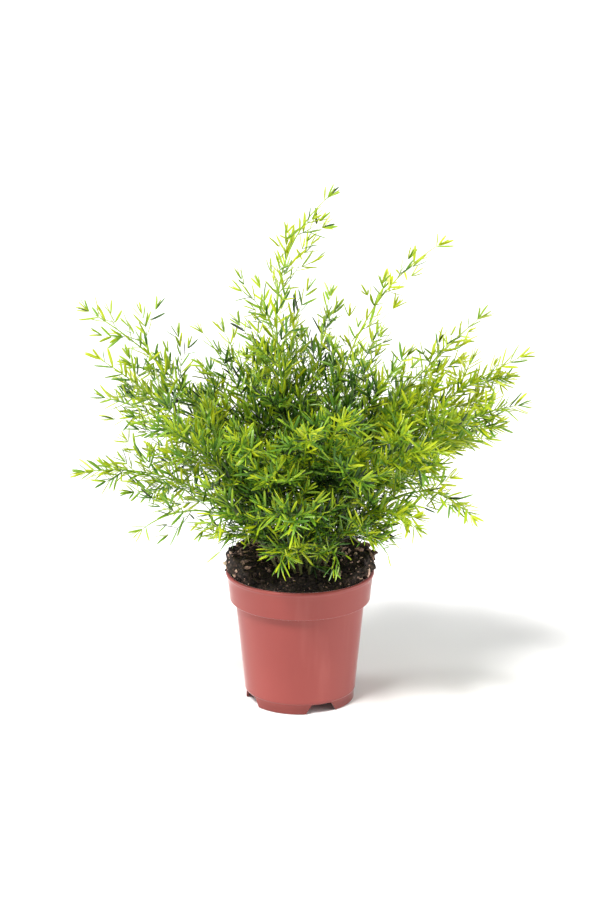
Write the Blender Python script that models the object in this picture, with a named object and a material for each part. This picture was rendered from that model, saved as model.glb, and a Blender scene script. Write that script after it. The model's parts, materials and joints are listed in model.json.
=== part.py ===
"""A potted asparagus fern, in metres, +Z up, standing on z = 0 about the pot's axis.

The pot is one moulded plastic shell with a foot ring cut into four feet. The compost fills it
and is heaped above the rim at the sides and back. Each frond is one wiry stem with its side
shoots, grown as one body, and stands in a small socket in the compost. -Y is the front.
"""

import math
import random

import bmesh
import bpy
import numpy as np
from mathutils import Matrix, Vector

MM = 0.001

# Pot: a 12 cm nursery pot.
POT_HEIGHT = 108.5 * MM
RIM_RADIUS = 60.0 * MM
BAND_BOTTOM = 84.5 * MM
BAND_FOOT_RADIUS = 56.7 * MM
BODY_TOP_RADIUS = 51.8 * MM
BODY_FOOT_RADIUS = 44.9 * MM
FOOT_RADIUS = 44.1 * MM
FOOT_HEIGHT = 8.0 * MM
WALL = 1.3 * MM
FLOOR_TOP = FOOT_HEIGHT + 1.6 * MM
POT_SEGMENTS = 48
FEET = 4
NOTCH_HEADING = -66.5
NOTCH_TOP_WIDTH = 19.0 * MM
NOTCH_FOOT_WIDTH = 25.0 * MM
DRAIN_HOLES = 6
DRAIN_RADIUS = 4.0 * MM
DRAIN_RING_RADIUS = 27.0 * MM

# Compost.
FIT_GAP = 0.4 * MM
COMPOST_EDGE = 104.5 * MM
COMPOST_EDGE_RADIUS = 56.6 * MM
CROWN_RISE = 9.0 * MM
FRONT_RISE = 3.0 * MM
BACK_RISE = 15.0 * MM
COMPOST_SEGMENTS = 32
SOCKET_DEPTH = 4.0 * MM
SOCKET_GAP = 0.35 * MM

# Fronds.
STEM_RADIUS = 1.15 * MM
STEM_NECK_RADIUS = 0.6 * MM
STEM_TIP_RADIUS = 0.15 * MM
SHOOT_RADIUS = 0.42 * MM
SHOOT_TIP_RADIUS = 0.12 * MM
STEM_STEPS = 10
SHOOT_STEPS = 2
SHOOT_SPACING = 21.0 * MM
SIDE_FACING = 58
CLEARANCE = 0.9 * MM
SHOOT_MARGIN = 4 * MM
TEST_SPACING = 2.0 * MM

# Each frond: heading of its tip in degrees (0 is +X, -90 the front), reach of the tip from the
# axis and its height above the ground in mm, slope of the stem where it leaves the compost,
# how far that slope is turned from the tip's heading, and slope of the last stretch.
FRONDS = (
    (22, 27, 414, 88, 150, 36),
    (15, 117, 371, 84, 0, 28),
    (8, 146, 314, 74, 0, 40),
    (-3, 176, 289, 70, 5, 28),
    (-13, 177, 257, 66, -5, 12),
    (18, 162, 204, 62, 10, -8),
    (-31, 155, 178, 66, 0, -50),
    (-45, 127, 172, 70, 0, -30),
    (-54, 117, 150, 72, 0, -45),
    (170, 174, 317, 68, 0, 28),
    (187, 160, 290, 66, 0, 34),
    (163, 168, 239, 62, 0, 6),
    (208, 147, 256, 66, 0, 20),
    (194, 176, 203, 64, 5, -5),
    (216, 152, 170, 66, 0, -28),
    (233, 125, 172, 68, 0, -30),
    (230, 98, 147, 70, 0, -50),
    (166, 81, 302, 80, 0, 50),
    (147, 74, 298, 78, 0, 55),
    (-87, 125, 259, 74, 0, 22),
    (-74, 124, 268, 76, 0, 28),
    (-103, 118, 216, 72, 0, 0),
    (-66, 121, 214, 72, 0, -5),
    (-118, 112, 243, 72, 0, 10),
    (-38, 138, 232, 70, 0, 5),
    (-92, 119, 176, 72, 0, -35),
    (-20, 90, 296, 80, 0, 50),
    (58, 128, 276, 74, 0, 20),
    (108, 127, 268, 74, 0, 18),
    (84, 127, 214, 68, 0, -8),
    (38, 136, 232, 68, 0, 4),
    (134, 138, 230, 68, 0, 4),
    (70, 72, 322, 82, 0, 55),
    (122, 62, 332, 84, 0, 55),
    (-100, 88, 142, 66, 0, -42),
    (-70, 90, 139, 66, 0, -46),
    (-132, 80, 158, 68, 0, -30),
    (-42, 88, 160, 68, 0, -30),
)


def material(name, colour, roughness, metallic=0.0):
    made = bpy.data.materials.new(name)
    made.use_nodes = True
    shader = made.node_tree.nodes["Principled BSDF"]
    shader.inputs["Base Color"].default_value = (*colour, 1.0)
    shader.inputs["Roughness"].default_value = roughness
    shader.inputs["Metallic"].default_value = metallic
    return made


def clear_scene():
    for old in list(bpy.data.objects):
        bpy.data.objects.remove(old, do_unlink=True)


def add_object(name, mesh, finish):
    made = bpy.data.objects.new(name, mesh)
    bpy.context.scene.collection.objects.link(made)
    if finish:
        mesh.materials.append(finish)
    return made


def as_tool(tool):
    """Marks an object as a cutter, which isn't a part."""
    tool.hide_render = True
    tool.display_type = "WIRE"
    return tool


def boolean(target, tool, operation, pieces_overlap=False):
    step = target.modifiers.new(tool.name, "BOOLEAN")
    step.operation = operation
    step.solver = "EXACT"
    step.use_self = pieces_overlap
    step.object = tool


def mesh_from(bm, name):
    bmesh.ops.recalc_face_normals(bm, faces=bm.faces)
    mesh = bpy.data.meshes.new(name)
    bm.to_mesh(mesh)
    bm.free()
    return mesh


def turned(outline, segments, name):
    """Spins an outline of (radius, height) points, whose two ends meet or lie on the axis."""
    bm = bmesh.new()
    points = [bm.verts.new((radius, 0, height)) for radius, height in outline]
    edges = [bm.edges.new(pair) for pair in zip(points, points[1:])]
    if outline[0][0] > 0:
        edges.append(bm.edges.new((points[-1], points[0])))
    bmesh.ops.spin(
        bm,
        geom=points + edges,
        axis=(0, 0, 1),
        cent=(0, 0, 0),
        angle=math.tau,
        steps=segments,
        use_merge=True,
    )
    bmesh.ops.remove_doubles(bm, verts=bm.verts, dist=0.01 * MM)
    mesh = mesh_from(bm, name)
    mesh.shade_smooth()
    mesh.set_sharp_from_angle(angle=math.radians(35))
    return mesh


def smoothstep(value):
    value = min(max(value, 0.0), 1.0)
    return value * value * (3 - 2 * value)


# ---------------------------------------------------------------- pot


def inner_wall():
    """The inside of the pot from floor to lip, as (radius, height)."""
    ledge = BAND_BOTTOM - 0.6 * MM
    return [
        (BODY_FOOT_RADIUS - WALL, FLOOR_TOP),
        (BODY_TOP_RADIUS - WALL, ledge),
        (BAND_FOOT_RADIUS - WALL, ledge + 2.4 * MM),
        (RIM_RADIUS - 1.5 * WALL, POT_HEIGHT - 4.0 * MM),
        (RIM_RADIUS - 1.1 * WALL, POT_HEIGHT - 0.5 * MM),
    ]


def make_pot():
    outer_wall = [
        (RIM_RADIUS - 0.7 * WALL, POT_HEIGHT),
        (RIM_RADIUS, POT_HEIGHT - 0.9 * MM),
        (RIM_RADIUS - 0.4 * MM, POT_HEIGHT - 3.0 * MM),
        (BAND_FOOT_RADIUS + 1.4 * MM, POT_HEIGHT - 10.0 * MM),
        (BAND_FOOT_RADIUS, BAND_BOTTOM + 0.8 * MM),
        (BAND_FOOT_RADIUS - 0.8 * MM, BAND_BOTTOM),
        (BODY_TOP_RADIUS, BAND_BOTTOM - 1.2 * MM),
        (BODY_FOOT_RADIUS, FOOT_HEIGHT + 1.0 * MM),
        (FOOT_RADIUS + 0.1 * MM, FOOT_HEIGHT),
        (FOOT_RADIUS - 0.2 * MM, 0.0),
    ]
    foot_inside = [
        (FOOT_RADIUS - 1.5 * WALL, 0.0),
        (FOOT_RADIUS - 1.3 * WALL, FOOT_HEIGHT),
    ]
    outline = [(0.0, FLOOR_TOP)] + inner_wall() + outer_wall + foot_inside + [(0.0, FOOT_HEIGHT)]
    pot = add_object(
        "pot",
        turned(outline, POT_SEGMENTS, "pot"),
        material("terracotta_plastic", (0.48, 0.10, 0.075), 0.42),
    )
    boolean(pot, foot_notches(), "DIFFERENCE")
    boolean(pot, drain_cutter(), "DIFFERENCE")


def foot_notches():
    """Four wedges, wider at the ground, that cut the foot ring into feet."""
    bm = bmesh.new()
    for number in range(FEET):
        block = bmesh.ops.create_cube(bm, size=1.0)["verts"]
        for corner in block:
            width = NOTCH_TOP_WIDTH if corner.co.z > 0 else NOTCH_FOOT_WIDTH
            corner.co = (
                FOOT_RADIUS + corner.co.x * 14 * MM,
                corner.co.y * width,
                FOOT_HEIGHT - 0.2 * MM if corner.co.z > 0 else -1.0 * MM,
            )
        turn = math.radians(NOTCH_HEADING + number * 360 / FEET)
        bmesh.ops.rotate(bm, verts=block, cent=(0, 0, 0), matrix=Matrix.Rotation(turn, 3, "Z"))
    return as_tool(add_object("foot_notches", mesh_from(bm, "foot_notches"), None))


def drain_cutter():
    bm = bmesh.new()
    for number in range(DRAIN_HOLES):
        turn = math.tau * number / DRAIN_HOLES
        middle = Vector((DRAIN_RING_RADIUS, 0, (FOOT_HEIGHT + FLOOR_TOP) / 2))
        bmesh.ops.create_cone(
            bm,
            cap_ends=True,
            segments=12,
            radius1=DRAIN_RADIUS,
            radius2=DRAIN_RADIUS,
            depth=6 * MM,
            matrix=Matrix.Rotation(turn, 4, "Z") @ Matrix.Translation(middle),
        )
    return as_tool(add_object("drain_cutter", mesh_from(bm, "drain_cutter"), None))


# ---------------------------------------------------------------- compost


def compost_height(x, y):
    """Height of the compost: level with the rim in front, heaped at the sides and back."""
    radius = math.hypot(x, y)
    off_front = math.degrees(math.acos(max(-1.0, min(1.0, -y / max(radius, 1e-6)))))
    around = FRONT_RISE + (BACK_RISE - FRONT_RISE) * smoothstep((off_front - 30) / 50)
    outward = smoothstep((radius - 8 * MM) / (34 * MM))
    rise = CROWN_RISE + (around - CROWN_RISE) * outward
    bank = smoothstep((COMPOST_EDGE_RADIUS - radius) / (7 * MM))
    return COMPOST_EDGE + rise * bank


def make_compost(fronds):
    wall = inner_wall()
    outline = [(0.0, FLOOR_TOP + FIT_GAP)]
    outline += [(radius - FIT_GAP, height + FIT_GAP) for radius, height in wall[:3]]
    outline += [(COMPOST_EDGE_RADIUS, COMPOST_EDGE - 1.0 * MM)]
    outline += [(radius * MM, COMPOST_EDGE) for radius in (55, 52.5, 49.5, 42, 33, 22, 11, 0)]
    mesh = turned(outline, COMPOST_SEGMENTS, "compost")
    for point in mesh.vertices:
        if point.co.z >= COMPOST_EDGE - 0.1 * MM:
            point.co.z = compost_height(point.co.x, point.co.y)
    finish = material("compost", (0.045, 0.028, 0.02), 0.95)
    compost = add_object("compost", mesh, finish)
    boolean(compost, sockets(fronds), "DIFFERENCE", pieces_overlap=True)


def sockets(fronds):
    """One round hole along the foot of each stem."""
    bm = bmesh.new()
    for frond in fronds:
        stem = frond[0]
        along = (stem["route"][1] - stem["route"][0]).normalized()
        length = 2 * SOCKET_DEPTH + 8 * MM
        middle = stem["route"][0] + along * (length / 2 - SOCKET_GAP)
        bmesh.ops.create_cone(
            bm,
            cap_ends=True,
            segments=6,
            radius1=STEM_RADIUS + 2 * SOCKET_GAP,
            radius2=STEM_RADIUS + 2 * SOCKET_GAP,
            depth=length,
            matrix=Matrix.Translation(middle) @ along.to_track_quat("Z", "Y").to_matrix().to_4x4(),
        )
    return as_tool(add_object("sockets", mesh_from(bm, "sockets"), None))


# ---------------------------------------------------------------- fronds


def direction(heading, slope):
    heading, slope = math.radians(heading), math.radians(slope)
    level = math.cos(slope)
    return Vector((level * math.cos(heading), level * math.sin(heading), math.sin(slope)))


def curve_point(ends, t):
    """A point on the cubic Bezier curve through four control points."""
    s = 1 - t
    a, b, c, d = ends
    return a * s**3 + b * (3 * s * s * t) + c * (3 * s * t * t) + d * t**3


def stem_radius(t):
    if t < 0.93:
        return STEM_RADIUS + (STEM_NECK_RADIUS - STEM_RADIUS) * t / 0.93
    return STEM_NECK_RADIUS + (STEM_TIP_RADIUS - STEM_NECK_RADIUS) * (t - 0.93) / 0.07


def shoot_radius(t):
    return SHOOT_RADIUS + (SHOOT_TIP_RADIUS - SHOOT_RADIUS) * t * t


def samples(ends, radius_at):
    """Points closely along a curve with their radii, for the clearance test."""
    length = sum((b - a).length for a, b in zip(ends, ends[1:]))
    count = max(4, math.ceil(length / TEST_SPACING))
    steps = [number / count for number in range(count + 1)]
    return np.array([[*curve_point(ends, t), radius_at(t)] for t in steps])


def is_clear(tested, grown):
    if not len(grown):
        return True
    apart = np.linalg.norm(tested[:, None, :3] - grown[None, :, :3], axis=2)
    return bool((apart - tested[:, None, 3] - grown[None, :, 3] > CLEARANCE).all())


def is_above(tested):
    """Whether a shoot stays clear of the heaped compost and the pot."""
    over_pot = np.hypot(tested[:, 0], tested[:, 1]) < RIM_RADIUS + SHOOT_MARGIN
    lowest = np.where(over_pot, POT_HEIGHT + BACK_RISE, 0.0) + SHOOT_MARGIN
    return bool((tested[:, 2] > lowest).all())


def stem_ends(frond, turn, draw_in):
    """The control points of a stem. turn shifts its foot round the crown, draw_in inwards."""
    heading, reach, height, slope, swing, tip_slope = frond
    steepness = max(0.0, (slope - 60) / 30)
    foot_radius = (23 - 17 * steepness) * MM * draw_in
    foot = direction(heading + turn, 0) * foot_radius
    foot.z = compost_height(foot.x, foot.y) - SOCKET_DEPTH
    tip = direction(heading, 0) * reach * MM
    tip.z = height * MM
    span = (tip - foot).length
    leave = foot + direction(heading + swing, slope) * span * 0.42
    arrive = tip - direction(heading, tip_slope) * span * 0.36
    return foot, leave, arrive, tip


def grow_stems():
    """Gives each stem the first foot that keeps it clear of the stems before it."""
    grown = np.empty((0, 4))
    stems = []
    for frond in FRONDS:
        places = [(turn, draw_in) for draw_in in (1, 0.75, 1.25, 0.5) for turn in (0, 14, -14, 28, -28, 42, -42)]
        for turn, draw_in in places:
            ends = stem_ends(frond, turn, draw_in)
            tested = samples(ends, stem_radius)
            if is_clear(tested, grown):
                break
        else:
            raise ValueError(f"no clear foot for the frond {frond}")
        stems.append(ends)
        grown = np.concatenate([grown, tested])
    return stems, grown


def shoot_ends(stem, t, length, roll):
    """The control points of a side shoot that leaves the stem at t and curves towards its tip."""
    start = curve_point(stem, t)
    along = (curve_point(stem, t + 0.02) - curve_point(stem, t - 0.02)).normalized()
    across = along.cross(Vector((0, 0, 1)))
    across = across.normalized() if across.length > 0.15 else Vector((0, 1, 0))
    face = across.cross(along)
    out = across * math.cos(roll) + face * math.sin(roll)
    leave = (along * 0.62 + out * 0.78).normalized()
    arrive = (along * 0.86 + out * 0.45 + Vector((0, 0, 0.12))).normalized()
    end = start + (leave + arrive) * length / 2
    return start, start + leave * length / 3, end - arrive * length / 3, end


def grow_shoots(stems, grown):
    """Side shoots, alternately left and right, each rolled or shortened until it is clear."""
    shoots = []
    for number, stem in enumerate(stems):
        chance = random.Random(number)
        facing = SIDE_FACING * abs(math.cos(math.radians(FRONDS[number][0])))
        length = sum((curve_point(stem, (i + 1) / 8) - curve_point(stem, i / 8)).length for i in range(8))
        count = round(0.66 * length / SHOOT_SPACING)
        own = []
        for place in range(count):
            t = 0.28 + 0.62 * (place + 0.5 * chance.random()) / count
            full = min(58 * MM, 0.34 * length) * (1 - 0.72 * ((t - 0.28) / 0.62) ** 1.5)
            full *= 0.8 + 0.35 * chance.random()
            middle = facing + 180 * (place % 2) + 40 * (chance.random() - 0.5)
            for length_share in (1, 0.75, 0.5):
                for roll in (0, 20, -20, 40, -40, 60, -60, 80, -80):
                    ends = shoot_ends(stem, t, full * length_share, math.radians(middle + roll))
                    tested = samples(ends, shoot_radius)[3:]
                    if len(tested) > 1 and is_clear(tested, grown) and is_above(tested):
                        break
                else:
                    continue
                break
            else:
                continue
            own.append(ends)
            grown = np.concatenate([grown, tested])
        shoots.append(own)
    return shoots


def shoot(ends, steps, radius_at):
    places = [number / steps for number in range(steps + 1)]
    return {
        "route": [curve_point(ends, t) for t in places],
        "radii": [radius_at(t) for t in places],
    }


def grow_fronds():
    """Every frond as a list of shoots, its stem first."""
    stems, grown = grow_stems()
    side_shoots = grow_shoots(stems, grown)
    return [
        [shoot(stem, STEM_STEPS, stem_radius)] + [shoot(ends, SHOOT_STEPS, shoot_radius) for ends in own]
        for stem, own in zip(stems, side_shoots)
    ]


def tubes(shoots, bevel_resolution, name):
    """A mesh of round bars along the shoots, each thinning to its tip."""
    curve = bpy.data.curves.new(name, "CURVE")
    curve.dimensions = "3D"
    curve.bevel_depth = 1.0
    curve.bevel_resolution = bevel_resolution
    curve.use_fill_caps = True
    for one in shoots:
        spline = curve.splines.new("POLY")
        spline.points.add(len(one["route"]) - 1)
        for point, place, radius in zip(spline.points, one["route"], one["radii"]):
            point.co = (*place, 1)
            point.radius = radius
    guide = bpy.data.objects.new(name, curve)
    mesh = bpy.data.meshes.new_from_object(guide)
    bpy.data.objects.remove(guide)
    bm = bmesh.new()
    bm.from_mesh(mesh)
    bmesh.ops.remove_doubles(bm, verts=bm.verts, dist=0.005 * MM)
    bpy.data.meshes.remove(mesh)
    return mesh_from(bm, name)


def make_frond(name, shoots, finish):
    frond = add_object(name, tubes(shoots[:1], 1, name), finish)
    if len(shoots) > 1:
        twigs = as_tool(add_object(name + "_shoots", tubes(shoots[1:], 0, name + "_shoots"), None))
        boolean(frond, twigs, "UNION")


def main():
    clear_scene()
    fronds = grow_fronds()
    make_pot()
    make_compost(fronds)
    green = material("frond_green", (0.16, 0.36, 0.04), 0.5)
    for number, shoots in enumerate(fronds, 1):
        make_frond(f"frond_{number:02d}", shoots, green)


main()
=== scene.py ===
import itertools
import json
import math
import random

import bmesh
import bpy
import numpy as np
from mathutils import Matrix, Quaternion, Vector, noise

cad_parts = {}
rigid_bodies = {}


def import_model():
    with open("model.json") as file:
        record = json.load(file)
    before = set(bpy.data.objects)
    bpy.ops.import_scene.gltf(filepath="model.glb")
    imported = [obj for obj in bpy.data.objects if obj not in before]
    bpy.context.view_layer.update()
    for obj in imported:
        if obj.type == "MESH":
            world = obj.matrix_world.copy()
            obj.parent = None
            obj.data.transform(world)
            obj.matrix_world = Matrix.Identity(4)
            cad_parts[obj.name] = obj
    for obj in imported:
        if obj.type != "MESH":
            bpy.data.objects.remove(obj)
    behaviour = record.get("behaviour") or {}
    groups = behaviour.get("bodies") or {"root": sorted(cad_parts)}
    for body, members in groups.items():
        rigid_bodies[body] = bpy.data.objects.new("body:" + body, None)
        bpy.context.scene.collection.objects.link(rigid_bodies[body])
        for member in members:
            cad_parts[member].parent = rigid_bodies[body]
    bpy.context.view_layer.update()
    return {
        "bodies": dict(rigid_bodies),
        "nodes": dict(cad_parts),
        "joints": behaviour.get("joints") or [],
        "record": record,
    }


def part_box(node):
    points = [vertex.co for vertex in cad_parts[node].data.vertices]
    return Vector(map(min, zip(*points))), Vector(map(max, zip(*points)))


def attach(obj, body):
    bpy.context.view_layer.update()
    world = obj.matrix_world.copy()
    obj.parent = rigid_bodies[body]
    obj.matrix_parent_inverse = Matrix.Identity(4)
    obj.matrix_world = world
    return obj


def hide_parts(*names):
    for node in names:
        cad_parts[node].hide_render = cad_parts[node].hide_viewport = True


# The looks of a potted asparagus fern, in metres, +Z up. The pot's axis stands on the origin
# and -Y is the front. The pot, the compost and every frond are finished pieces in place of
# their plain CAD solids, grown from the same driving sizes.

MM = 0.001
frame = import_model()

# ---------------------------------------------------------------- sizes shared with the CAD

POT_HEIGHT = 108.5 * MM
RIM_RADIUS = 60.0 * MM
BAND_BOTTOM = 84.5 * MM
BAND_FOOT_RADIUS = 56.7 * MM
BODY_TOP_RADIUS = 51.8 * MM
BODY_FOOT_RADIUS = 44.9 * MM
FOOT_RADIUS = 44.1 * MM
FOOT_HEIGHT = 8.0 * MM
WALL = 1.3 * MM
FLOOR_TOP = FOOT_HEIGHT + 1.6 * MM
FEET = 4
NOTCH_HEADING = -66.5
NOTCH_TOP_WIDTH = 19.0 * MM
NOTCH_FOOT_WIDTH = 25.0 * MM
DRAIN_HOLES = 6
DRAIN_RADIUS = 4.0 * MM
DRAIN_RING_RADIUS = 27.0 * MM

COMPOST_EDGE = 104.5 * MM
COMPOST_EDGE_RADIUS = 56.6 * MM
CROWN_RISE = 9.0 * MM
FRONT_RISE = 3.0 * MM
BACK_RISE = 15.0 * MM
SOCKET_DEPTH = 4.0 * MM

STEM_RADIUS = 1.15 * MM
STEM_NECK_RADIUS = 0.6 * MM
STEM_TIP_RADIUS = 0.15 * MM
SHOOT_RADIUS = 0.42 * MM
SHOOT_TIP_RADIUS = 0.12 * MM
FOOT_DRAWS = (1, 0.75, 1.25, 0.5)
FOOT_TURNS = (0, 14, -14, 28, -28, 42, -42)
SHOOT_SPACING = 21.0 * MM
SIDE_FACING = 58
CLEARANCE = 0.9 * MM
SHOOT_MARGIN = 4 * MM
TEST_SPACING = 2.0 * MM

# Each frond: heading of its tip in degrees (0 is +X, -90 the front), reach of the tip from the
# axis and its height above the ground in mm, slope of the stem where it leaves the compost,
# how far that slope is turned from the tip's heading, and slope of the last stretch.
FRONDS = (
    (22, 27, 414, 88, 150, 36),
    (15, 117, 371, 84, 0, 28),
    (8, 146, 314, 74, 0, 40),
    (-3, 176, 289, 70, 5, 28),
    (-13, 177, 257, 66, -5, 12),
    (18, 162, 204, 62, 10, -8),
    (-31, 155, 178, 66, 0, -50),
    (-45, 127, 172, 70, 0, -30),
    (-54, 117, 150, 72, 0, -45),
    (170, 174, 317, 68, 0, 28),
    (187, 160, 290, 66, 0, 34),
    (163, 168, 239, 62, 0, 6),
    (208, 147, 256, 66, 0, 20),
    (194, 176, 203, 64, 5, -5),
    (216, 152, 170, 66, 0, -28),
    (233, 125, 172, 68, 0, -30),
    (230, 98, 147, 70, 0, -50),
    (166, 81, 302, 80, 0, 50),
    (147, 74, 298, 78, 0, 55),
    (-87, 125, 259, 74, 0, 22),
    (-74, 124, 268, 76, 0, 28),
    (-103, 118, 216, 72, 0, 0),
    (-66, 121, 214, 72, 0, -5),
    (-118, 112, 243, 72, 0, 10),
    (-38, 138, 232, 70, 0, 5),
    (-92, 119, 176, 72, 0, -35),
    (-20, 90, 296, 80, 0, 50),
    (58, 128, 276, 74, 0, 20),
    (108, 127, 268, 74, 0, 18),
    (84, 127, 214, 68, 0, -8),
    (38, 136, 232, 68, 0, 4),
    (134, 138, 230, 68, 0, 4),
    (70, 72, 322, 82, 0, 55),
    (122, 62, 332, 84, 0, 55),
    (-100, 88, 142, 66, 0, -42),
    (-70, 90, 139, 66, 0, -46),
    (-132, 80, 158, 68, 0, -30),
    (-42, 88, 160, 68, 0, -30),
)

# ---------------------------------------------------------------- growth, as in the CAD


def smoothstep(value):
    value = min(max(value, 0.0), 1.0)
    return value * value * (3 - 2 * value)


def rise_from(value, start, width):
    """0 until a value passes the start, 1 once it is a width further."""
    return smoothstep((value - start) / width)


def fall_to(value, end, width):
    """0 beyond the end, 1 once a value is a width short of it."""
    return smoothstep((end - value) / width)


def heaped(x, y):
    """0 at the front of the pot, where the compost is level, 1 at its sides and back."""
    off_front = math.degrees(math.acos(max(-1.0, min(1.0, -y / max(math.hypot(x, y), 1e-6)))))
    return rise_from(off_front, 30, 50)


def compost_height(x, y):
    """Height of the compost: level with the rim in front, heaped at the sides and back."""
    radius = math.hypot(x, y)
    around = FRONT_RISE + (BACK_RISE - FRONT_RISE) * heaped(x, y)
    outward = rise_from(radius, 8 * MM, 34 * MM)
    rise = CROWN_RISE + (around - CROWN_RISE) * outward
    bank = fall_to(radius, COMPOST_EDGE_RADIUS, 7 * MM)
    return COMPOST_EDGE + rise * bank


def direction(heading, slope):
    heading, slope = math.radians(heading), math.radians(slope)
    level = math.cos(slope)
    return Vector((level * math.cos(heading), level * math.sin(heading), math.sin(slope)))


def curve_point(ends, t):
    """A point on the cubic Bezier curve through four control points."""
    s = 1 - t
    a, b, c, d = ends
    return a * s**3 + b * (3 * s * s * t) + c * (3 * s * t * t) + d * t**3


def stem_radius(t):
    if t < 0.93:
        return STEM_RADIUS + (STEM_NECK_RADIUS - STEM_RADIUS) * t / 0.93
    return STEM_NECK_RADIUS + (STEM_TIP_RADIUS - STEM_NECK_RADIUS) * (t - 0.93) / 0.07


def shoot_radius(t):
    return SHOOT_RADIUS + (SHOOT_TIP_RADIUS - SHOOT_RADIUS) * t * t


def samples(ends, radius_at):
    """Points closely along a curve with their radii, for the clearance test."""
    length = sum((b - a).length for a, b in zip(ends, ends[1:]))
    count = max(4, math.ceil(length / TEST_SPACING))
    steps = [number / count for number in range(count + 1)]
    return np.array([[*curve_point(ends, t), radius_at(t)] for t in steps])


def is_clear(tested, grown):
    if not len(grown):
        return True
    apart = np.linalg.norm(tested[:, None, :3] - grown[None, :, :3], axis=2)
    return bool((apart - tested[:, None, 3] - grown[None, :, 3] > CLEARANCE).all())


def is_above(tested):
    """Whether a shoot stays clear of the heaped compost and the pot."""
    over_pot = np.hypot(tested[:, 0], tested[:, 1]) < RIM_RADIUS + SHOOT_MARGIN
    lowest = np.where(over_pot, POT_HEIGHT + BACK_RISE, 0.0) + SHOOT_MARGIN
    return bool((tested[:, 2] > lowest).all())


def stem_ends(frond, turn, draw_in):
    """The control points of a stem. turn shifts its foot round the crown, draw_in inwards."""
    heading, reach, height, slope, swing, tip_slope = frond
    steepness = max(0.0, (slope - 60) / 30)
    foot_radius = (23 - 17 * steepness) * MM * draw_in
    foot = direction(heading + turn, 0) * foot_radius
    foot.z = compost_height(foot.x, foot.y) - SOCKET_DEPTH
    tip = direction(heading, 0) * reach * MM
    tip.z = height * MM
    span = (tip - foot).length
    leave = foot + direction(heading + swing, slope) * span * 0.42
    arrive = tip - direction(heading, tip_slope) * span * 0.36
    return foot, leave, arrive, tip


def grow_stems():
    """Gives each stem the first foot that keeps it clear of the stems before it."""
    grown = np.empty((0, 4))
    stems = []
    for frond in FRONDS:
        for draw_in, turn in itertools.product(FOOT_DRAWS, FOOT_TURNS):
            ends = stem_ends(frond, turn, draw_in)
            tested = samples(ends, stem_radius)
            if is_clear(tested, grown):
                break
        else:
            raise ValueError(f"no clear foot for the frond {frond}")
        stems.append(ends)
        grown = np.concatenate([grown, tested])
    return stems, grown


def shoot_ends(stem, t, length, roll):
    """The control points of a side shoot that leaves the stem at t and curves towards its tip."""
    start = curve_point(stem, t)
    along = (curve_point(stem, t + 0.02) - curve_point(stem, t - 0.02)).normalized()
    across = along.cross(Vector((0, 0, 1)))
    across = across.normalized() if across.length > 0.15 else Vector((0, 1, 0))
    face = across.cross(along)
    out = across * math.cos(roll) + face * math.sin(roll)
    leave = (along * 0.62 + out * 0.78).normalized()
    arrive = (along * 0.86 + out * 0.45 + Vector((0, 0, 0.12))).normalized()
    end = start + (leave + arrive) * length / 2
    return start, start + leave * length / 3, end - arrive * length / 3, end


def grow_shoots(stems, grown):
    """Side shoots, alternately left and right, each rolled or shortened until it is clear."""
    shoots = []
    for number, stem in enumerate(stems):
        chance = random.Random(number)
        facing = SIDE_FACING * abs(math.cos(math.radians(FRONDS[number][0])))
        route = [curve_point(stem, step / 8) for step in range(9)]
        length = sum((b - a).length for a, b in zip(route, route[1:]))
        count = round(0.66 * length / SHOOT_SPACING)
        own = []
        for place in range(count):
            t = 0.28 + 0.62 * (place + 0.5 * chance.random()) / count
            full = min(58 * MM, 0.34 * length) * (1 - 0.72 * ((t - 0.28) / 0.62) ** 1.5)
            full *= 0.8 + 0.35 * chance.random()
            middle = facing + 180 * (place % 2) + 40 * (chance.random() - 0.5)
            for length_share in (1, 0.75, 0.5):
                for roll in (0, 20, -20, 40, -40, 60, -60, 80, -80):
                    ends = shoot_ends(stem, t, full * length_share, math.radians(middle + roll))
                    tested = samples(ends, shoot_radius)[3:]
                    if len(tested) > 1 and is_clear(tested, grown) and is_above(tested):
                        break
                else:
                    continue
                break
            else:
                continue
            own.append(ends)
            grown = np.concatenate([grown, tested])
        shoots.append(own)
    return shoots


# ---------------------------------------------------------------- finishes

COLOUR_A, COLOUR_B, COLOUR_OUT = 6, 7, 2


class Wire:
    """A shader socket that can stand in a Python sum."""

    def __init__(self, finish, socket):
        self.finish, self.socket = finish, socket

    def maths(self, operation, first, second):
        return self.finish.node("Math", {0: first, 1: second}, operation=operation)

    def __add__(self, other):
        return self.maths("ADD", self, other)

    def __sub__(self, other):
        return self.maths("SUBTRACT", self, other)

    def __rsub__(self, other):
        return self.maths("SUBTRACT", other, self)

    def __mul__(self, other):
        return self.maths("MULTIPLY", self, other)

    __radd__, __rmul__ = __add__, __mul__


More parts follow.
